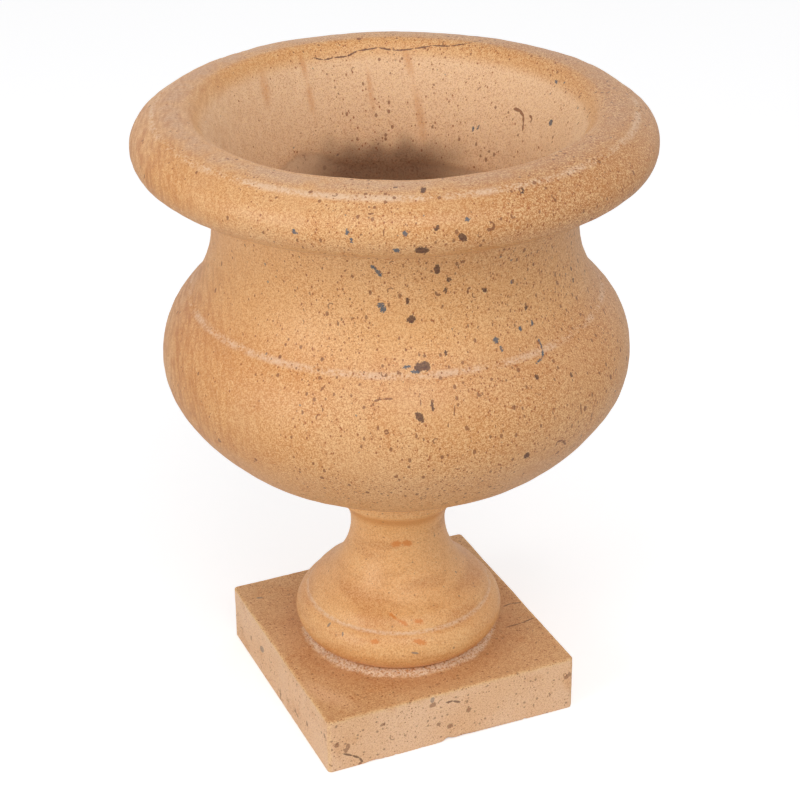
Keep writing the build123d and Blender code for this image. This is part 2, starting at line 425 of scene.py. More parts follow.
nicks = eased(ripples(bowl_grid, 0.009, 11), 0.6, 2.0) + 0.35 * eased(ripples(bowl_grid, 0.03, 12), 0.2, 1.6)
carving = (
    WANDER * ripples(bowl_grid, 0.075, 1)
    + TOOLING * ripples(bowl_grid, 0.013, 2)
    + DRESSING * dressed * ripples(bowl_grid, 0.008, 3)
    - ARRIS_WEAR * wear * nicks
    - DRESSED_STEP * below_line
)
bowl = skinned("bowl_stone_skin", bowl_grid + bowl_normal * (carving * held)[..., None])
hollow = inside * (1 - eased(bowl_height, *HOLLOW_RIM))
painted(bowl, "hollow_zone", hollow, poles=(1.0, 1.0))
painted(bowl, "smooth_zone", below_line, poles=(0.0, 1.0))
# Painted shade: a darker band low in the hollow on one side, where the deep inside falls into shade. Each
# point keeps its share as the painted shade zone.
round_shade = 1 - eased(np.abs(azimuth - SHADE_PLACE), SHADE_REACH * 0.3, SHADE_REACH)
up_shade = 1 - eased(bowl_height + 0.003 * ripples(bowl_grid, 0.02, 6), *SHADE_UPPER_EDGE)
down_shade = eased(bowl_height, *SHADE_LOWER_EDGE)
painted(bowl, "painted_shade_zone", inside * round_shade * up_shade * down_shade, poles=(0.0, 0.0))

# %% The pedestal
PEDESTAL_COLUMNS = 384
STEP_WEAR = 0.0005
pedestal_grid = turned(pedestal_template, PEDESTAL_COLUMNS)
turned_radius = np.hypot(pedestal_grid[..., 0], pedestal_grid[..., 1])
held = eased(pedestal_grid[..., 2], PEDESTAL_FOOT, PEDESTAL_FOOT + 0.006)
held = held * (1 - eased(pedestal_grid[..., 2], PEDESTAL_TOP - 0.008, PEDESTAL_TOP - 0.001))
held = held * eased(turned_radius, PIN_HOLE_SURROUND, PIN_HOLE_RADIUS * 2.5)
wear = near(pedestal_grid, STEP, 0.003)
carving = (
    0.7 * WANDER * ripples(pedestal_grid, 0.045, 21)
    + 0.7 * TOOLING * ripples(pedestal_grid, 0.012, 22)
    - STEP_WEAR * wear * eased(ripples(pedestal_grid, 0.007, 23), 0.2, 1.8)
)
pedestal = skinned(
    "pedestal_stone_skin",
    pedestal_grid + outward(pedestal_grid) * (carving * held)[..., None],
)

# %% [markdown]
# ## The plinth
# The plinth is a sawn slab, two hundred millimetres square, with a low round seat that was left
# standing when its top was dressed back. One grid can cover it all: its rows are rings that
# start as circles in the pin hole and on the seat, and turn into a square with soft corners by
# the time they reach the slab's edges. Its sawn edges have lost small chips.

# %% The square's outline and its chips
PLINTH_HALF = 0.1
PLINTH_TOP = 0.0445
PLINTH_CORNER_RADIUS = 0.0032
SAW_ARRIS = 0.001
SEAT_TOP = 0.0475
SEAT_TOP_RADIUS = 0.068
SEAT_FOOT_RADIUS = 0.075
SEAT_COVE = (0.0713, 0.0456)
PIN_HOLE_FLOOR = 0.0135
SIDE_STEPS = 226
CORNER_STEPS = 9


def slab_outline(half, corner, side_steps, corner_steps):
    """A square with round corners as points and outward directions, starting in the middle of
    the +X side: straight sides, then quarter circles of the corner's radius."""
    points, facing = [], []
    for quarter in range(4):
        heading = quarter * math.pi / 2
        axis_out = np.array([math.cos(heading), math.sin(heading)])
        axis_on = np.array([-axis_out[1], axis_out[0]])
        travel = np.linspace(-(half - corner), half - corner, side_steps, endpoint=False)[:, None]
        points.append(axis_out * half + axis_on * travel)
        facing.append(np.broadcast_to(axis_out, (side_steps, 2)))
        angle = heading + np.linspace(0, math.pi / 2, corner_steps, endpoint=False)
        out = np.stack([np.cos(angle), np.sin(angle)], axis=1)
        points.append((axis_out + axis_on) * (half - corner) + out * corner)
        facing.append(out)
    return np.vstack(points), np.vstack(facing)


outline, facing = slab_outline(PLINTH_HALF, PLINTH_CORNER_RADIUS, SIDE_STEPS, CORNER_STEPS)
bearing = np.arctan2(outline[:, 1], outline[:, 0])
print("the plinth's outline has", len(outline), "points")


# %% How deep each edge is chipped
NOTCH_PLACE = -0.0045
NOTCH_DEPTH = 0.0032
NOTCH_REACH = 0.004
FRONT_LOSS = 0.0022
FRONT_LOSS_END = 0.098
TOP_CHIP = 0.0006
BOTTOM_CHIP = 0.0012


def chip_depths(outline, seed, most):
    """Small random bites out of an edge: a fine random field, kept where it is high."""
    rim = np.column_stack([outline, np.zeros(len(outline))])
    fine = eased(ripples(rim, 0.006, seed), 0.75, 2.2)
    coarse = eased(ripples(rim, 0.035, seed + 1), 0.9, 2.2)
    return most * (fine + 1.2 * coarse)


on_front = (facing[:, 1] < -0.5) * 1.0
top_chips = SAW_ARRIS + chip_depths(outline, 31, TOP_CHIP)
past_notch = eased(outline[:, 0], NOTCH_PLACE - 0.003, NOTCH_PLACE + 0.002)
fade = 1 - eased(outline[:, 0], NOTCH_PLACE + 0.01, FRONT_LOSS_END)
notch = NOTCH_DEPTH * np.exp(-((outline[:, 0] - NOTCH_PLACE) / NOTCH_REACH) ** 2)
notch = FRONT_LOSS * past_notch * fade + notch
bottom_chips = SAW_ARRIS + chip_depths(outline, 41, BOTTOM_CHIP) + on_front * notch

# %% The plinth's rings
def circle_ring(radius, height):
    """A ring of the pin hole or the seat, with its points on the outline's bearings."""
    ring = np.stack([np.cos(bearing) * radius, np.sin(bearing) * radius], axis=1)
    return np.column_stack([ring, np.full(len(ring), height)])


def edge_ring(inset, height):
    """A ring of the slab's sides: the outline, moved in by an inset for each point."""
    ring = outline - facing * np.broadcast_to(inset, len(outline))[:, None]
    return np.column_stack([ring, np.broadcast_to(height, len(outline))])


def between(first, last, count):
    """Rings in even steps after the first, up to and with the last."""
    return [first + (last - first) * share for share in np.linspace(0, 1, count + 1)[1:]]


def rounded(depth, rising):
    """Five rings round an edge on a quarter ellipse. The edge is cut back by depth."""
    rings = []
    for angle in np.linspace(0, math.pi / 2, 5):
        inset, drop = depth * (1 - math.sin(angle)), depth * (1 - math.cos(angle))
        rings.append(edge_ring(inset, rising(drop)))
    return rings


UNDERSIDE_HUB = 0.02

bottom_round = rounded(bottom_chips, lambda drop: drop)
top_round = rounded(top_chips, lambda drop: PLINTH_TOP - drop)[::-1]
rings = [circle_ring(0.0, 0.0)]
rings += between(circle_ring(UNDERSIDE_HUB, 0.0), bottom_round[0], 6)[:-1] + bottom_round
rings += between(bottom_round[-1], top_round[0], 22)
rings += top_round[1:]
seat = arc_through((SEAT_FOOT_RADIUS, PLINTH_TOP), SEAT_COVE, (SEAT_TOP_RADIUS, SEAT_TOP), 0.0006)
rings += between(top_round[-1], circle_ring(SEAT_FOOT_RADIUS, PLINTH_TOP), 40)
rings += [circle_ring(r, z) for r, z in seat[1:]]
rings += between(circle_ring(SEAT_TOP_RADIUS, SEAT_TOP), circle_ring(PIN_HOLE_RADIUS, SEAT_TOP), 10)
rings += between(circle_ring(PIN_HOLE_RADIUS, SEAT_TOP), circle_ring(PIN_HOLE_RADIUS, PIN_HOLE_FLOOR), 3)
rings += [circle_ring(0.0, PIN_HOLE_FLOOR)]
plinth_grid = np.array(rings)
print("the plinth has", len(plinth_grid), "rings")

# %% The plinth's wander and the rough seat
PLINTH_WANDER = 0.00016
PLINTH_TOOLING = 0.00006
SEAT_ROUGHNESS = 0.00038
SEAT_SUNK = 0.0002
ring_radius = np.hypot(plinth_grid[..., 0], plinth_grid[..., 1])
on_show = eased(ring_radius, 0.0672, 0.0685) * eased(plinth_grid[..., 2], 0.0, 0.004)
rough_seat = on_show * eased(ring_radius, 0.067, 0.069) * (1 - eased(ring_radius, 0.0735, 0.0790))
rough_seat *= plinth_grid[..., 2] > PLINTH_TOP - 1e-5
carving = (
    PLINTH_WANDER * ripples(plinth_grid, 0.05, 51) * on_show
    + PLINTH_TOOLING * ripples(plinth_grid, 0.009, 52) * on_show
    + SEAT_ROUGHNESS * ripples(plinth_grid, 0.006, 53) * rough_seat
    - SEAT_SUNK * rough_seat
)
plinth_normal = outward(plinth_grid)
plinth = skinned("plinth_stone_skin", plinth_grid + plinth_normal * carving[..., None])

# %% [markdown]
# ## Where a line of sight meets the stone
# The fossils that stand out most in the picture sit at known pixels. A ray from the camera
# through such a pixel meets one of the three surfaces, and that spot is the fossil's place on
# the stone, from whatever side it is then seen.

# %% Finding a spot on the stone
def searchable(piece):
    """A tree of the piece's faces, in which the first face along a ray is found quickly."""
    corners = [v.co.copy() for v in piece.data.vertices]
    return BVHTree.FromPolygons(corners, [tuple(p.vertices) for p in piece.data.polygons])


searches = [searchable(piece) for piece in (bowl, pedestal, plinth)]


def spot(pixel):
    """The nearest point of the stone on the line of sight through a pixel."""
    hits = [search.ray_cast(eye, sight(pixel)) for search in searches]
    hits = [hit for hit in hits if hit[0] is not None]
    if not hits:
        raise ValueError(f"the line of sight through {pixel} misses the stone")
    return min(hits, key=lambda hit: hit[3])[0]


print("the middle of the picture lies at", [round(v, 4) for v in spot((400, 400))])

# %% [markdown]
# ## Shader maths as plain sums
# A material is a small program made of nodes, and its maths reads best as sums. A Wire stands
# for one socket of that program. Adding, multiplying or comparing wires adds the Math nodes
# that do it, so a mask can be written as 1 - distance / reach.

# %% Wires and the tree they belong to
class Wire:
    """One output socket that can be used in a sum. Each operator adds one Math node."""

    def __init__(self, tree, socket):
        self.tree, self.socket = tree, socket

    def maths(self, operation, *values):
        inputs = {place: value for place, value in enumerate(values)}
        return self.tree.node("Math", {"operation": operation}, inputs)

    def __add__(self, other):
        return self.maths("ADD", self, other)

    def __sub__(self, other):
        return self.maths("SUBTRACT", self, other)

    def __rsub__(self, other):
        return self.maths("SUBTRACT", other, self)

    def __mul__(self, other):
        return self.maths("MULTIPLY", self, other)

    def __truediv__(self, other):
        return self.maths("DIVIDE", self, other)

    def __gt__(self, other):
        return self.maths("GREATER_THAN", self, other)

    def __lt__(self, other):
        return self.maths("LESS_THAN", self, other)

    def __abs__(self):
        return self.maths("ABSOLUTE", self)

    def beside(self, output):
        """Another output of the same node."""
        return Wire(self.tree, self.socket.node.outputs[output])

    def most(self, other):
        return self.maths("MAXIMUM", self, other)

    def least(self, other):
        return self.maths("MINIMUM", self, other)

    __radd__ = __add__
    __rmul__ = __mul__


class Tree:
    """A material's node tree, with one method that makes any node."""

    def __init__(self, material):
        self.nodes, self.links = material.node_tree.nodes, material.node_tree.links

    def node(self, kind, settings=None, inputs=None, output=0):
        """Makes a node, whose kind is written without the ShaderNode that all of them start
        with: its settings first, then the values or wires of its sockets."""
        made = self.nodes.new("ShaderNode" + kind)
        for name, value in (settings or {}).items():
            setattr(made, name, value)
        for name, value in (inputs or {}).items():
            if isinstance(value, Wire):
                self.links.new(value.socket, made.inputs[name])
            else:
                made.inputs[name].default_value = value
        return Wire(self, made.outputs[output]) if made.outputs else None

    def blend(self, share, first, second):
        """The first colour where the share is nothing, the second where it is one."""
        return self.node(
            "Mix",
            {"data_type": "RGBA", "clamp_factor": True},
            {0: share, 6: first, 7: second},
            output=2,
        )

    def layers(self, ground, *layers):
        """Colours laid over the ground one after another, each by its own share."""
        for share, shade in layers:
            ground = self.blend(share, ground, shade)
        return ground

    def ease(self, value, low, high):
        """Nothing below low, one above high, with a smooth step between."""
        return self.node(
            "MapRange",
            {"interpolation_type": "SMOOTHSTEP"},
            {"Value": value, "From Min": low, "From Max": high},
        )

    def vector(self, operation, first, second=None, output=0):
        """One Vector Math node."""
        inputs = {0: first} if second is None else {0: first, 1: second}
        return self.node("VectorMath", {"operation": operation}, inputs, output)

    def along(self, place, direction):
        """How far a place lies along a direction: the dot product of the two."""
        return self.vector("DOT_PRODUCT", place, tuple(direction), output=1)

    def noise(self, place, scale, detail=2.0, rough=0.5, output=0):
        """A Noise Texture: its value is about a half on average."""
        inputs = {"Vector": place, "Scale": scale, "Detail": detail, "Roughness": rough}
        return self.node("TexNoise", {"noise_dimensions": "3D"}, inputs, output)

# %% [markdown]
# ## The colours of this stone
# The stone is a honey limestone. Its ground runs from beige through honey to orange, with cream
# and rust grains, brown and blue-grey shell fragments, and chalky bands where an arris was
# bruised. Colours are written as they look in the picture and turned into the linear light
# that a shader wants.

# %% Named colours
def colour(red, green, blue):
    """A display colour from 0 to 255 as linear light: each value over 255, to the 2.2-like
    curve of the display standard."""
    parts = [part / 255 for part in (red, green, blue)]
    linear = [p / 12.92 if p <= 0.04045 else ((p + 0.055) / 1.055) ** 2.4 for p in parts]
    return (*linear, 1.0)


HONEY = colour(215, 152, 88)
BEIGE = colour(220, 165, 110)
ORANGE = colour(203, 130, 62)
CREAM = colour(240, 200, 146)
RUST = colour(178, 106, 46)
BROWN = colour(124, 68, 32)
SEED_BROWN = colour(90, 54, 34)
RUST_BROWN = colour(150, 78, 30)
PAINTED_SHADE_TAN = colour(172, 108, 54)
SLATE = colour(78, 88, 96)
CHALK = colour(232, 200, 170)
PAINTED_SKY_GREY = colour(200, 156, 124)
PALE_BEIGE = colour(250, 216, 180)
CRACK_BROWN = colour(92, 52, 34)
PAINTED_SHADE_BROWN = colour(104, 70, 48)
SOOT_GREY = colour(206, 176, 146)
PAINTED_LIGHT_HONEY = colour(240, 184, 118)
PALE_GOLD = colour(228, 166, 102)
GOLD = colour(234, 177, 113)
PAINTED_LIGHT_GOLD = colour(246, 186, 118)
STAIN_ORANGE = colour(216, 128, 46)
SIDE_PALE = colour(246, 206, 170)
SIDE_PINK = colour(240, 194, 152)
TOP_PALE = colour(218, 170, 122)
TOP_DARK = colour(206, 154, 104)
SEAT_WHITE = colour(244, 222, 196)
STEEL_DARK = colour(168, 168, 170)
STEEL_LIGHT = colour(204, 204, 206)
ADHESIVE_DARK = colour(166, 140, 114)
ADHESIVE_PALE = colour(206, 184, 158)
PORE_BROWN = colour(110, 92, 76)

# %% [markdown]
# ## Layers that every piece of the stone shares
# The ground is the colour under everything: slow clouds between beige and honey. Grain is the
# salt and pepper of cream and rust at the size of a grain of sand. Flecks are shell fragments:
# each cell of a Voronoi pattern may hold one, of its own size. Arcs are shells cut across, and
# they are rings of which half is hidden. Streaks follow the bed of the stone, which stood
# upright in this block and ran away from the camera.

# %% Ground, grain and streaks
BED_ACROSS = Vector((right.x, right.y, 0.10)).normalized()
BED_ALONG = Vector((0.0, 0.0, 1.0)).cross(BED_ACROSS).normalized()
BED_UP = BED_ACROSS.cross(BED_ALONG)


def place_of(tree):
    """Object coordinates, in metres."""
    return tree.node("TexCoord", output=3)


def streaks(tree, place, scale, stretch):
    """A noise that is drawn out along the bed, so that it cuts the surface in streaks."""
    axes = zip("XYZ", (BED_ACROSS, BED_ALONG, BED_UP))
    bed = tree.node("CombineXYZ", inputs={name: tree.along(place, axis) for name, axis in axes})
    return tree.noise(tree.vector("MULTIPLY", bed, (1.0, stretch, stretch)), scale, 3.0, 0.55)


COARSE_GRAIN = 620.0
FINE_GRAIN = 1150.0
JITTER_SCALE = 800.0
MARK_JITTER = 0.0028
FLECK_JITTER = 0.0009


def grain(tree, place, scale):
    """Sand-sized grain: a fine noise with finer ones on it, about a half on average."""
    return tree.noise(place, scale, 2.0, 0.7)


def salted(tree, ground, coarse, fine, amount):
    """The ground with cream grains where the noises are high and rust grains where they are
    low."""
    for noise, cream, rust in ((coarse, 0.50, 0.36), (fine, 0.60, 0.52)):
        ground = tree.blend(tree.ease(noise, 0.51, 0.62) * (amount * cream), ground, CREAM)
        ground = tree.blend(tree.ease(1 - noise, 0.51, 0.62) * (amount * rust), ground, RUST)
    return ground


def jittered(tree, place, most):
    """The place pushed about by a fine noise, which gives flecks and marks ragged outlines."""
    inputs = {"Vector": place, "Scale": JITTER_SCALE, "Detail": 1.0}
    push = tree.node("TexNoise", {"noise_dimensions": "3D"}, inputs, 1)
    centred = tree.vector("SUBTRACT", push, (0.5, 0.5, 0.5))
    return tree.vector("ADD", place, tree.vector("MULTIPLY", centred, (most, most, most)))


# %% Flecks and arcs
def voronoi(tree, where):
    """The distance to the middle of the nearest of many random cells of about size one. The
    same node gives the cell's random colour and its middle."""
    return tree.node("TexVoronoi", {"voronoi_dimensions": "3D"}, {"Vector": where, "Scale": 1.0})


def flecks(tree, place, cell, chance, size, drawn=(1.0, 1.0, 1.0)):
    """A mask of shell fragments. Each Voronoi cell draws a number, and holds a fleck if that is
    under the chance; a second number sets its radius as a share of the cell."""
    cells = voronoi(tree, tree.vector("MULTIPLY", place, tuple(part / cell for part in drawn)))
    number = tree.node("SeparateColor", inputs={0: cells.beside("Color")})
    radius = size * (0.35 + number.beside(1) * 0.65)
    return (1 - tree.ease(cells / radius, 0.75, 1.1)) * (number < chance)


def arcs(tree, place, cell, chance, size, line):
    """A mask of shells cut across: a thin ring round the middle of some cells, with the side
    hidden that faces away from a random direction."""
    where = tree.vector("MULTIPLY", place, (1 / cell, 1 / cell, 1 / cell))
    cells = voronoi(tree, where)
    number = tree.node("SeparateColor", inputs={0: cells.beside("Color")})
    ring = 1 - tree.ease(abs(cells - size), line * 0.5, line)
    facing_way = tree.vector("SUBTRACT", cells.beside("Color"), (0.5, 0.5, 0.5))
    from_middle = tree.vector("SUBTRACT", where, cells.beside("Position"))
    half = tree.vector("DOT_PRODUCT", from_middle, facing_way, output=1)
    return ring * (half > 0.015) * (number < chance)

# %% [markdown]
# ## Marks with a place of their own
# A mark is a chain of short ellipsoids from spot to spot. A Mapping node of the texture kind
# moves a place into an ellipsoid's own frame, where it is a ball of radius one. The spherical
# gradient is one in the middle of that ball and falls to nothing at its skin. The most of all
# the gradients is eased once at the end, which saves a node for each ellipsoid.

# %% Drawing marks
MARK_DEPTH = 2.5
MARK_EDGE = 0.22


def ellipsoid(tree, place, first, last, half_width):
    """A gradient that is one in the middle of the ellipsoid from first to last and falls to
    nothing at its skin."""
    run = last - first
    inputs = {
        "Vector": place,
        "Location": tuple((first + last) / 2),
        "Rotation": tuple(run.to_track_quat("X", "Z").to_euler()),
        "Scale": (run.length / 2 + half_width, half_width, half_width * MARK_DEPTH),
    }
    local = tree.node("Mapping", {"vector_type": "TEXTURE"}, inputs)
    settings = {"gradient_type": "SPHERICAL"}
    return tree.node("TexGradient", settings, {"Vector": local}, output=1)


def marks(tree, place, named_marks, edge=MARK_EDGE):
    """The mask of all the marks of one colour: the most of their gradients, eased."""
    total = None
    for half_width, *pixels in named_marks.values():
        spots = [spot(pixel) for pixel in pixels]
        if len(spots) == 1:
            side = right * half_width * 0.2
            spots = [spots[0] - side, spots[0] + side]
        for first, last in zip(spots, spots[1:]):
            gradient = ellipsoid(tree, place, first, last, half_width)
            total = gradient if total is None else total.most(gradient)
    return tree.ease(total, 0.0, edge)

# %% The marks of the bowl, by pixel, with their half widths
BOWL_BROWN = {
    "seed under the lip": (0.0026, (418, 250.5), (426, 250.8)),
    "seed on the neck": (0.0021, (437, 266.5), (437.3, 272)),
    "left end of the patch on the crease": (0.0026, (418, 368.5), (421, 366.5)),
    "right end of the patch on the crease": (0.0023, (423, 366), (428, 366.8)),
    "seed over the lip roll": (0.0019, (422.5, 192), (424, 188.5)),
    "long seed on the lip": (0.0012, (436.6, 230), (437.6, 226)),
    "seed right of the lip's middle": (0.0017, (462, 238.5), (464, 237)),
    "seed on the neck's front": (0.0017, (410, 318), (412.5, 320.5)),
    "small seed on the neck": (0.0012, (407.6, 300.5),),
    "slanted seed on the belly": (0.0018, (417.5, 414), (422, 420.5)),
    "upright seed on the belly": (0.0011, (432, 403.5), (433.5, 411.5)),
    "seed left of the lip's middle": (0.0011, (394, 188), (396, 187)),
    "flat seed on the neck": (0.0008, (447, 279.3), (451, 279.5)),
    "neck dot": (0.0010, (445.5, 290.2),),
    "right neck seed": (0.0010, (484, 291), (485.2, 289.5)),
    "lip crescent upper": (0.0009, (521.5, 188), (523.6, 190)),
    "lip crescent lower": (0.0009, (523.6, 190.6), (521, 193.5)),
    "neck seed far right": (0.0008, (526.5, 306), (526, 309)),
    "belly seed right": (0.0013, (536, 377), (537.5, 376)),
    "belly seed low right": (0.0014, (525.5, 455), (528.5, 455.5)),
    "belly dot by the crease": (0.0011, (446, 353),),
    "belly spot far right": (0.0011, (571.5, 375),),
    "neck cluster upper": (0.0011, (571, 267.5), (571.4, 269.5)),
    "neck cluster lower": (0.0010, (573, 279), (573.2, 281)),
}
BOWL_SLATE = {
    "slate on the neck upper": (0.0012, (380.3, 304), (381.5, 306.5)),
    "slate on the neck lower": (0.0011, (382, 307.5), (383.8, 311)),
    "slate strand under the lip": (0.0008, (371, 265.5), (376.5, 269.5)),
    "slate strand end": (0.0011, (376.5, 270), (380.5, 276)),
    "slate dot on the lip": (0.0011, (346.9, 231.7),),
    "slate drip on the lip": (0.0008, (351.3, 238), (352, 243)),
    "slate by the dark seed": (0.0011, (394, 249.5), (399, 251.5)),
    "teal on the lip": (0.0012, (466.5, 218.5), (468.5, 219.5)),
    "slate on the lip's middle": (0.0011, (404, 233.5), (406, 232.5)),
    "slate by the crease upper": (0.0014, (494.5, 339.5), (497.5, 340.5)),
    "slate by the crease lower": (0.0011, (500.5, 347), (502, 350.5)),
    "slate dot on the right neck": (0.0011, (520.5, 328.5),),
    "slate haze on the right neck": (0.0011, (532, 323),),
    "slate dot high on the neck": (0.0007, (511.5, 281.7),),
    "slate tail of the patch": (0.0009, (403.5, 367.8), (409.5, 366)),
    "slate under the patch": (0.0008, (411, 371.5), (419, 372.3)),
    "slate at the left of the lip": (0.0010, (293.5, 232.5), (295, 231.5)),
    "strand by the crease upper": (0.0006, (538.2, 338.5), (543, 350)),
    "strand by the crease middle": (0.0008, (543.2, 350), (542.3, 357.5)),
    "strand by the crease lower": (0.0005, (542.3, 357.5), (536.2, 364)),
    "slate dot inside": (0.0010, (473, 129),),
    "small slate dot inside": (0.0008, (478.1, 127.3),),
    "slate spot inside": (0.0015, (550.5, 121.5), (551, 124)),
    "dark spot inside": (0.0010, (556, 80.5), (556.6, 82.5)),
    "small dark spot inside": (0.0007, (564, 82.7),),
}
BOWL_LINES = {
    "red shell on the belly": (0.0005, (373.5, 401.3), (382.5, 399), (393, 398.6)),
    "hooked shell on the lip": (0.0005, (487, 229.5), (491.5, 229.8), (494.6, 226.5), (493, 222.8)),
    "hook's end": (0.0004, (493, 222.8), (489.5, 221.6)),
    "shell on the neck": (0.0004, (470.5, 287), (467.5, 289.5), (468, 293.5)),
    "shell left of it": (0.0004, (435.5, 291.5), (436.5, 295), (440.5, 294.6)),
    "thin straw on the belly": (0.0005, (454.8, 404.5), (454.2, 416.5)),
    "curved shell inside": (
        0.0008, (514, 108.8), (520, 110.5), (523.4, 116), (523.3, 123.5), (522.6, 131),
    ),
    "small shell inside": (0.0006, (529.5, 115.5), (532.2, 118.5), (530.5, 122.5)),
    "ring on the belly left": (0.0004, (384.6, 432), (386, 430.4), (388.3, 431)),
    "ring on the belly right": (0.0004, (388.6, 432.3), (387.3, 434), (385, 433.3)),
    "arch on the belly": (0.0006, (555.5, 446.5), (557.5, 441.5), (562.5, 440.5), (566, 444.5)),
    "straw under the crease": (0.0004, (420.5, 399), (420.8, 406.5)),
    "straw far right": (0.0006, (580.5, 403), (581.2, 415)),
    "strand high on the right": (0.0005, (603, 309), (605.3, 314.5)),
    "dash on the lip": (0.0007, (369, 213.8), (373, 213.6)),
    "straw on the lip": (0.0004, (384.5, 228), (383.3, 236.5)),
}
BOWL_STREAKS = {
    "streak down the inside left": (0.0040, (299, 52), (307, 80), (314, 118)),
    "streak down the inside middle": (0.0044, (402, 42), (413, 80), (425, 150)),
    "streak down the inside far left": (0.0053, (262, 70), (268, 110)),
    "streak between them": (0.0031, (366, 62), (374, 120)),
}
LIP_CRACK = {
    "left end of the crack": (0.0004, (312.8, 57.5), (323.5, 60.1), (334, 57.5)),
    "left half of the crack": (0.0005, (334, 57.5), (347.6, 56.1), (357, 50.8), (378.4, 47.4)),
    "middle of the crack": (0.0005, (378.4, 47.4), (391.8, 50.1), (414.5, 48.7)),
    "right half of the crack": (0.0005, (414.5, 48.7), (432, 45.4), (450.7, 46.1), (468, 43.4)),
    "right end of the crack": (0.0004, (468, 43.4), (484, 40.5)),
}

# %% The marks of the pedestal and the plinth
FOOT_ORANGE = {
    "long stain on the bell": (0.0014, (388, 612.5), (398, 620), (407.5, 625.5)),
    "short stain on the bell": (0.0017, (415, 621.5), (423, 621.5)),
    "stain on the torus": (0.0016, (413, 641), (427, 643)),
    "faint stain on the torus": (0.0014, (371, 641), (379, 642)),
    "streak on the stem": (0.0014, (391, 545), (402, 542.5), (412, 543.5)),
}
FOOT_DARK = {
    "slate on the torus": (0.0011, (328, 626), (330, 623.5)),
    "small slate on the torus": (0.0008, (342.8, 632.5), (342.6, 635.5)),
    "dash on the torus": (0.0004, (411.5, 652.6), (418.5, 653.4)),
    "dot on the bell": (0.0007, (456, 572),),
}
PLINTH_BROWN = {
    "seed on the front": (0.0013, (432.5, 704), (433.2, 706)),
    "seed right of it": (0.0012, (467.5, 710), (470, 708.8)),
    "round seed on the front": (0.0010, (382.8, 724), (383.2, 725)),
    "double seed left": (0.0008, (437.5, 723.8), (439.5, 725)),
    "double seed right": (0.0009, (447.5, 727.3), (452.5, 724.5)),
    "orange oval": (0.0009, (345.5, 748.5), (346.5, 752)),
    "left oval": (0.0010, (335.5, 744.8), (338, 745.4)),
    "right oval": (0.0010, (347, 746.3), (349.2, 745.8)),
    "shell at the right edge": (0.0009, (565, 678.5), (568, 675), (571, 673.2)),
    "dark spot on the front": (0.0009, (549.7, 694.7),),
    "long seed on the left face": (0.0007, (280, 688), (280.8, 700.5)),
    "curved seed on the left face": (0.0007, (294.8, 708), (296, 713), (298.6, 718)),
    "high seed on the left face": (0.0009, (251, 636), (251.3, 640)),
    "seed by the corner": (0.0009, (306.5, 722), (307.5, 725.5)),
    "low seed by the corner": (0.0009, (324, 733.5), (325.2, 738)),
    "small seed by the corner": (0.0007, (321, 731), (321.4, 733)),
}
PLINTH_LINES = {
    "strand on the top": (0.0007, (490.6, 628.9), (506, 627.3), (521, 623.2), (534.6, 617.6)),
    "upper strand on the top": (0.0006, (503.5, 606.5), (511, 603.4), (521, 602.6)),
    "shell on the front": (0.0004, (446, 702.6), (453, 701), (460.5, 702.2)),
    "long shell by the corner": (0.0004, (343, 753.8), (352.5, 755.6), (359.5, 757.8), (362.8, 762.2)),
}
PLINTH_PALER = {
    "worn near corner of the top": (0.0130, (300, 690), (352, 706)),
}
PLINTH_SLATE = {
    "slate over the seed": (0.0011, (431.5, 700.3), (433.5, 700)),
    "slate on the left face": (0.0012, (260.5, 649), (263.5, 649.4)),
    "slate on the top": (0.0011, (257, 598), (262, 597.6)),
}

# %% [markdown]
# ## Zones and bands
# Some of the stone's looks follow its shape: the chalky bruise along an arris, the greyish crest
# of the lip, which is a painted reflection of the sky, and the rough seat on the plinth. A band is
# one at a named (radius, height) spot of the template and fades with the distance from it, broken
# up by noise. Where a look follows the carving, as the smoother stone low in the hollow and the
# painted shade there do, it reads the number that was kept for each point of the skin.

# %% Measuring round the axis
def radius_and_height(tree, place):
    """How far a place is from the upright axis, and how high."""
    level = tree.vector("MULTIPLY", place, (1.0, 1.0, 0.0))
    return tree.vector("LENGTH", level, output=1), tree.along(place, (0.0, 0.0, 1.0))


def zone(tree, name):
    """A number that was kept for each point of the skin."""
    return tree.node("Attribute", {"attribute_name": name}, output=2)


def band(tree, radius, height, spot_of_template, reach):
    """One at a spot of the template, fading to nothing at reach."""
    flat = tree.node("CombineXYZ", inputs={"X": radius, "Y": height})
    away = tree.vector("DISTANCE", flat, (*spot_of_template, 0.0), output=1)
    return 1 - tree.ease(away, reach * 0.15, reach)


# %% Finishing a stone
def new_material(name):
    """An empty material with nodes, and its tree."""
    material = bpy.data.materials.new(name)
    material.use_nodes = True
    material.node_tree.nodes.clear()
    return material, Tree(material)


def raw_stone(name):
    """What each stone starts with: its material and tree, the place, the place's radius and
    height, and the coarse and the fine grain."""
    material, tree = new_material(name)
    place = place_of(tree)
    radius, height = radius_and_height(tree, place)
    coarse, fine = (grain(tree, place, scale) for scale in (COARSE_GRAIN, FINE_GRAIN))
    return material, tree, place, radius, height, coarse, fine


def finish_surface(tree, base, rough, height, relief, metallic=0.0):
    """Joins a colour, a roughness and a relief to the surface shader. The relief's strength is
    the depth, in metres, of a height of one."""
    inputs = {"Strength": 1.0, "Distance": relief, "Height": height}
    inputs = {"Base Color": base, "Roughness": rough, "Normal": tree.node("Bump", inputs=inputs)}
    inputs["Metallic"] = metallic
    tree.node("OutputMaterial", inputs={"Surface": tree.node("BsdfPrincipled", inputs=inputs)})

# %% The bowl's stone
STREAKY_SIDE = (-0.125, -0.040)
FOSSIL_SIDE = (-0.075, 0.015)
PAINTED_SHADE_RIGHT = (0.03, 0.15)
LIP_HEIGHTS = (0.38, 0.42)
NECK_HEIGHTS = (0.318, 0.345)
NECK_RADII = (0.133, 0.146)
CREST_REACH = 0.0135
LIP_CREASE_REACH = 0.0044
BELLY_CREASE_REACH = 0.0040


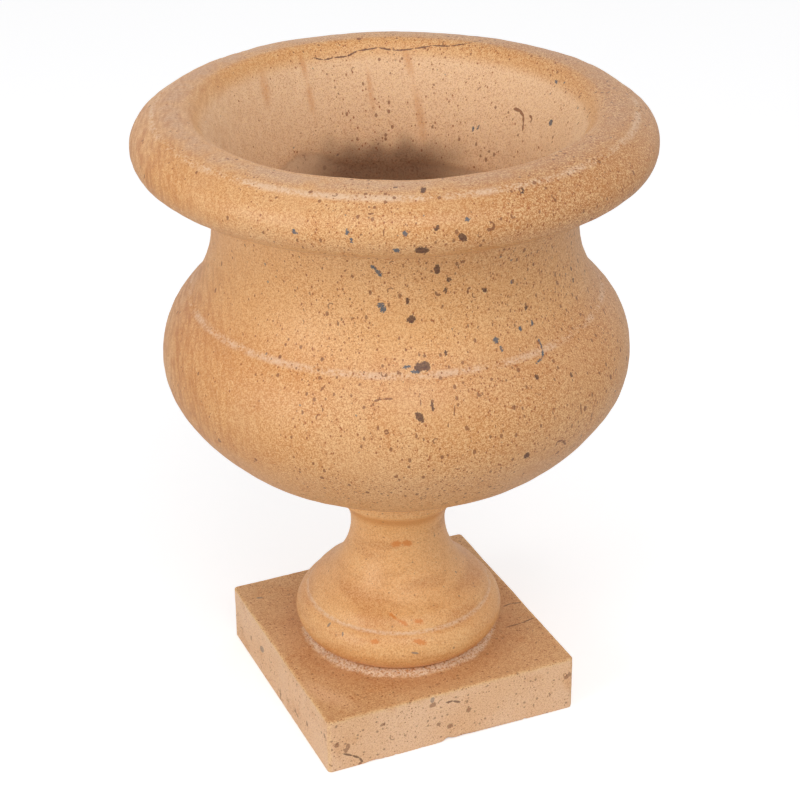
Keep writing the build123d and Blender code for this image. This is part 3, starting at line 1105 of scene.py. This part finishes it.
def bowl_stone():
    """Streaks on the left, fossils on the right, chalky creases, a grey crest that is a painted
    reflection of the sky, painted shade on the right of the outside and painted light on the
    neck, and a pale inside with smoother stone low down and painted shade low on one side."""
    material, tree, place, radius, height, coarse, fine = raw_stone("bowl_limestone")
    across = tree.along(place, BED_ACROSS)
    ragged, rougher = jittered(tree, place, MARK_JITTER), jittered(tree, place, FLECK_JITTER)
    cloud = tree.noise(place, 11.0, 3.0, 0.5)
    patch = tree.noise(place, 38.0, 3.0, 0.6)
    streaky_side = 1 - tree.ease(across, *STREAKY_SIDE)
    streak = streaks(tree, place, 430.0, 0.16)
    dotted = tree.ease(streak + coarse * 0.45 + fine * 0.45, 0.92, 1.06)
    hollow = zone(tree, "hollow_zone")
    # Painted reflection: the top-facing crest of the lip is greyed as if it showed the sky, broken up by
    # noise.
    crest = band(tree, radius, height, CREST, CREST_REACH)
    fossil_side = 0.12 + tree.ease(across, *FOSSIL_SIDE) * 0.88
    crowd = tree.ease(tree.noise(place, 23.0, 3.0, 0.6), 0.34, 0.54)
    crowd = crowd * fossil_side * (1 - hollow * 0.6)
    # Painted shade: the outside turns tan towards the right, and more so up at the lip, for the side that
    # the lamps light less.
    painted_shade_on_right = 0.30 + tree.ease(height, *LIP_HEIGHTS) * 0.30
    painted_shade_on_right = tree.ease(across, *PAINTED_SHADE_RIGHT) * (1 - hollow) * painted_shade_on_right
    # Painted light: a lighter honey on the outside of the neck, which lies in shade under the lip.
    painted_light_in_neck = tree.ease(height, *NECK_HEIGHTS) * (1 - tree.ease(radius, *NECK_RADII))
    ground = tree.layers(
        tree.blend(tree.ease(cloud, 0.38, 0.60), BEIGE, HONEY),
        (tree.ease(patch, 0.50, 0.70) * 0.35, ORANGE),
        (dotted * (0.15 + streaky_side * 0.40), ORANGE),
        (hollow * 0.75, PALE_BEIGE),
        (crest * tree.ease(patch, 0.28, 0.60) * 0.85, PAINTED_SKY_GREY),
        (painted_shade_on_right, PAINTED_SHADE_TAN),
        (painted_light_in_neck * (1 - hollow) * 0.45, PAINTED_LIGHT_HONEY),
    )
    ground = salted(tree, ground, coarse, fine, 0.85 + crowd * 0.30)

    chalky = band(tree, radius, height, LIP_CREASE, LIP_CREASE_REACH) * 0.8
    chalky = chalky.most(band(tree, radius, height, BELLY_CREASE, BELLY_CREASE_REACH) * 0.8)
    dust = flecks(tree, place, 0.0025, crowd, 0.31, (1.0, 1.0, 0.70))
    small = flecks(tree, rougher, 0.0052, crowd * 0.85, 0.25, (1.0, 1.0, 0.62))
    medium = flecks(tree, rougher, 0.0100, crowd * 0.55, 0.17, (1.0, 1.0, 0.75))
    blue = flecks(tree, rougher, 0.0090, fossil_side * 0.25, 0.12)
    shells = arcs(tree, rougher, 0.0110, crowd * 0.20, 0.19, 0.050)
    drips = marks(tree, ragged, BOWL_STREAKS, edge=0.9)
    speckled = 0.50 + coarse * 0.80
    ground = tree.layers(
        ground,
        (tree.ease(streak + fine, 1.00, 1.12) * streaky_side * 0.50, RUST),
        (chalky * tree.ease(coarse + patch, 0.78, 1.18) * 0.85, CHALK),
        (dust * 0.82, RUST_BROWN),
        (small * speckled * 0.80, BROWN),
        (medium * speckled * 0.85, BROWN),
        (shells * 0.70, BROWN),
        (blue * 0.60, SLATE),
        (drips * tree.ease(fine, 0.40, 0.60) * 0.75, ORANGE),
        (marks(tree, ragged, BOWL_BROWN) * speckled, SEED_BROWN),
        (marks(tree, ragged, BOWL_SLATE) * speckled, SLATE),
        (marks(tree, rougher, BOWL_LINES) * 0.80, BROWN),
        (marks(tree, rougher, LIP_CRACK) * 0.85, CRACK_BROWN),
        (zone(tree, "smooth_zone") * 0.50, SOOT_GREY),
        # painted shade low in the hollow, in dark brown
        (zone(tree, "painted_shade_zone") * (0.50 + coarse * 0.60), PAINTED_SHADE_BROWN),
    )
    rough = 0.42 + hollow * 0.20 + chalky * 0.20 + coarse * 0.06
    finish_surface(tree, ground, rough, coarse * 0.6 + fine * 0.4, 0.00022)
    return material

# %% The pedestal's stone
STEM_HEIGHTS = (0.070, 0.115)
STEP_REACH = 0.0026
UNDER_COLLAR = (0.0400, 0.158)
UNDER_COLLAR_REACH = 0.008
STAIN_JITTER = 0.0030


def pedestal_stone():
    """Smoother and yellower than the bowl, with few fossils and some orange stains, and painted
    light up the stem, which stands in shade under the bowl.
    """
    material, tree, place, radius, height, coarse, fine = raw_stone("pedestal_limestone")
    cloud = tree.noise(place, 24.0, 3.0, 0.5)
    drift = tree.noise(tree.vector("MULTIPLY", place, (14.0, 14.0, 60.0)), 1.0, 3.0, 0.6)
    ground = tree.layers(
        tree.blend(tree.ease(cloud, 0.35, 0.65), PALE_GOLD, GOLD),
        # painted light: a lighter gold up the stem, which stands in shade under the bowl
        (tree.ease(height, *STEM_HEIGHTS) * 0.7, PAINTED_LIGHT_GOLD),
        (tree.ease(drift, 0.48, 0.66) * 0.55, ORANGE),
    )
    ground = salted(tree, ground, coarse, fine, 0.75)
    bruised = band(tree, radius, height, STEP, STEP_REACH)
    under_collar = band(tree, radius, height, UNDER_COLLAR, UNDER_COLLAR_REACH)
    dust = flecks(tree, place, 0.0029, 0.30 * tree.ease(cloud, 0.42, 0.58), 0.28)
    small = flecks(tree, place, 0.0052, 0.09, 0.22)
    stains = marks(tree, jittered(tree, place, STAIN_JITTER), FOOT_ORANGE, edge=0.5)
    ground = tree.layers(
        ground,
        (bruised * tree.ease(coarse, 0.30, 0.55) * 0.55, CHALK),
        (under_collar * 0.5, ORANGE),
        (dust * 0.55, RUST_BROWN),
        (small * 0.55, BROWN),
        (stains * 0.80, STAIN_ORANGE),
        (marks(tree, place, FOOT_DARK) * 0.60, SLATE),
    )
    rough = 0.40 + bruised * 0.15 + coarse * 0.06
    finish_surface(tree, ground, rough, coarse * 0.6 + fine * 0.4, 0.00014)
    return material

# %% The plinth's stone
TOP_HEIGHTS = (PLINTH_TOP - 0.0012, PLINTH_TOP - 0.0004)
ARRIS_HEIGHTS = (PLINTH_TOP - 0.0032, PLINTH_TOP - 0.0014)
ARRIS_FROM_MIDDLE = (PLINTH_HALF - 0.0030, PLINTH_HALF - 0.0012)
SEAT_START, SEAT_END = (0.0660, 0.0690), (0.0755, 0.0800)
HALO_START, HALO_END = (0.074, 0.080), (0.084, 0.100)


def plinth_stone():
    """Pinkish sawn sides with larger shells, a darker matt top, a rough pale seat and light
    arrises."""
    material, tree, place, radius, height, coarse, fine = raw_stone("plinth_limestone")
    ragged, rougher = jittered(tree, place, MARK_JITTER), jittered(tree, place, FLECK_JITTER)
    cloud = tree.ease(tree.noise(place, 18.0, 3.0, 0.5), 0.35, 0.65)
    patch = tree.noise(place, 45.0, 2.0, 0.5)
    on_top = tree.ease(height, *TOP_HEIGHTS)
    sides = tree.blend(cloud, SIDE_PALE, SIDE_PINK)
    # A lighter patch on the top at its near corner, in the sides' colour.
    paler = marks(tree, place, PLINTH_PALER, edge=0.9) * on_top * 0.6
    from_x, from_y = (abs(tree.along(place, axis)) for axis in ((1.0, 0.0, 0.0), (0.0, 1.0, 0.0)))
    by_edge = tree.ease(from_x.most(from_y), *ARRIS_FROM_MIDDLE) * tree.ease(height, *ARRIS_HEIGHTS)
    arris = by_edge.most(tree.ease(from_x.least(from_y), *ARRIS_FROM_MIDDLE))
    ground = tree.layers(
        tree.blend(on_top, sides, tree.blend(cloud, TOP_PALE, TOP_DARK)),
        (paler, sides),
        (arris * tree.ease(coarse, 0.36, 0.56) * 0.7, CREAM),
        (tree.ease(patch, 0.55, 0.75) * 0.35, ORANGE),
    )
    ground = salted(tree, ground, coarse, fine, 0.85)
    halo = tree.ease(radius, *HALO_START) * (1 - tree.ease(radius, *HALO_END)) * on_top
    seat = tree.ease(radius, *SEAT_START) * (1 - tree.ease(radius + patch * 0.008, *SEAT_END))
    seat = seat * on_top
    dust = flecks(tree, place, 0.0029, 0.75 * tree.ease(patch, 0.36, 0.54), 0.31)
    small = flecks(tree, rougher, 0.0052, 0.40, 0.24)
    medium = flecks(tree, rougher, 0.0095, 0.28, 0.18, (1.0, 1.0, 0.8))
    shells = arcs(tree, rougher, 0.0130, 0.30, 0.22, 0.045)
    ground = tree.layers(
        ground,
        (halo * 0.20, RUST),
        (seat * tree.ease(coarse, 0.34, 0.60) * 0.70, SEAT_WHITE),
        (seat * tree.ease(1 - coarse, 0.60, 0.72) * 0.35, RUST),
        (dust * 0.66, RUST_BROWN),
        (small * 0.55, BROWN),
        (medium * 0.60 * (1 - on_top * 0.4), BROWN),
        (shells * 0.50 * (1 - on_top * 0.6), BROWN),
        (marks(tree, ragged, PLINTH_BROWN) * 0.60, BROWN),
        (marks(tree, place, PLINTH_LINES) * 0.75, SEED_BROWN),
        (marks(tree, rougher, PLINTH_SLATE) * 0.50, SLATE),
    )
    rough = 0.46 + on_top * 0.16 + seat * 0.15 + coarse * 0.06
    finish_surface(tree, ground, rough, coarse * 0.6 + fine * 0.4 + seat * coarse, 0.00022)
    return material

# %% [markdown]
# ## The hidden pieces
# Two steel pins stand in grouted holes and thin beds of stone adhesive lie under the pedestal
# and the bowl. They hardly show, but the library's users can take the urn apart, so each has
# its own finish: drawn steel with fine marks along it, and a sandy grey adhesive.

# %% Steel and adhesive
def pin_steel():
    """Cold-drawn steel: fine lines along the bar from a noise drawn out along the height."""
    material, tree = new_material("pin_steel")
    drawn = tree.vector("MULTIPLY", place_of(tree), (1.0, 1.0, 0.03))
    lines = tree.noise(drawn, 2600.0, 2.0, 0.6)
    tint = tree.blend(lines, STEEL_DARK, STEEL_LIGHT)
    finish_surface(tree, tint, 0.30 + lines * 0.15, lines, 0.00003, metallic=1.0)
    return material


def stone_adhesive():
    """Sanded adhesive: a warm grey with grains and small pores."""
    material, tree = new_material("stone_adhesive")
    place = place_of(tree)
    sand = grain(tree, place, 900.0)
    pores = flecks(tree, place, 0.0030, 0.25, 0.22)
    tint = tree.blend(sand, ADHESIVE_DARK, ADHESIVE_PALE)
    tint = tree.blend(pores * 0.5, tint, PORE_BROWN)
    finish_surface(tree, tint, 0.75 + sand * 0.10, sand - pores * 0.6, 0.0002)
    return material


# %% Giving each piece its finish and its place in the part
for piece, material, node in (
    (bowl, bowl_stone(), "bowl"),
    (pedestal, pedestal_stone(), "pedestal"),
    (plinth, plinth_stone(), "plinth"),
):
    piece.data.materials.append(material)
    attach(piece, "root")
    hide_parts(node)
    node + "_stone"
    print(piece.name, "has", len(material.node_tree.nodes), "nodes in its material")

hidden_finishes = {"dowel": pin_steel(), "grout": stone_adhesive()}
hidden_finishes["bed"] = hidden_finishes["grout"]
for name, node in nodes.items():
    finish = hidden_finishes.get(name.rsplit("_", 1)[-1])
    if finish is not None:
        node.data.materials.clear()
        node.data.materials.append(finish)

# %% [markdown]
# ## The studio
# The urn stands on a plain pale floor under soft boxes: one to the left of the camera and one
# high above it, with weaker ones to the right and behind, and soft light from all round. The
# floor is drawn white by a little light of its own that only the camera sees, and it keeps the
# urn's shadow.

# %% Floor, lamps and surroundings
FLOOR_HALF = 6.0
FLOOR_GLOW = 0.46
WHITE = (1.0, 1.0, 1.0, 1.0)
PAPER = (0.80, 0.80, 0.81, 1.0)


def studio_floor():
    """One square sheet under the urn, at height nothing."""
    mesh = bpy.data.meshes.new("studio_floor")
    h = FLOOR_HALF
    mesh.from_pydata([(-h, -h, 0), (h, -h, 0), (h, h, 0), (-h, h, 0)], [], [(0, 1, 2, 3)])
    floor = bpy.data.objects.new("studio_floor", mesh)
    bpy.context.scene.collection.objects.link(floor)
    material, tree = new_material("studio_floor")
    seen = tree.node("LightPath", output=0)
    glow = tree.node("Emission", inputs={"Color": WHITE, "Strength": seen * FLOOR_GLOW})
    paper = tree.node("BsdfDiffuse", inputs={"Color": PAPER})
    both = tree.node("AddShader", inputs={0: paper, 1: glow})
    tree.node("OutputMaterial", inputs={"Surface": both})
    mesh.materials.append(material)
    return floor


def soft_box(name, place, aim, size, power):
    """A square area lamp at a place, given with the camera at the front, turned to its aim."""
    lamp = bpy.data.objects.new(name, bpy.data.lights.new(name, "AREA"))
    lamp.data.size = size
    lamp.data.energy = power
    start, end = turn @ Vector(place), turn @ Vector(aim)
    facing_aim = (end - start).to_track_quat("-Z", "Y").to_matrix().to_4x4()
    lamp.matrix_world = Matrix.Translation(start) @ facing_aim
    bpy.context.scene.collection.objects.link(lamp)


LAMPS = {
    "left_box": ((-1.9, -1.5, 1.1), 1.2, 17.0),
    "high_box": ((0.3, -1.6, 2.1), 1.4, 18.0),
    "right_box": ((1.9, -1.5, 1.1), 1.2, 2.5),
    "rear_box": ((0.0, 1.7, 1.9), 1.4, 1.0),
}
SURROUND = 0.54
AIM = (0.0, 0.0, 0.25)

floor = studio_floor()
for name, (place, size, power) in LAMPS.items():
    soft_box(name, place, AIM, size, power)

world = bpy.data.worlds.new("studio")
bpy.context.scene.world = world
world.use_nodes = True
world.node_tree.nodes.clear()
sky = Tree(world)
path = sky.node("LightPath")
seen = path.most(path.beside("Is Glossy Ray")).most(path.beside("Is Transmission Ray"))
strength = SURROUND + seen * (1.0 - SURROUND)
backdrop = sky.node("Background", inputs={"Color": WHITE, "Strength": strength})
sky.node("OutputWorld", inputs={"Surface": backdrop})
bpy.context.scene.view_settings.view_transform = "Standard"
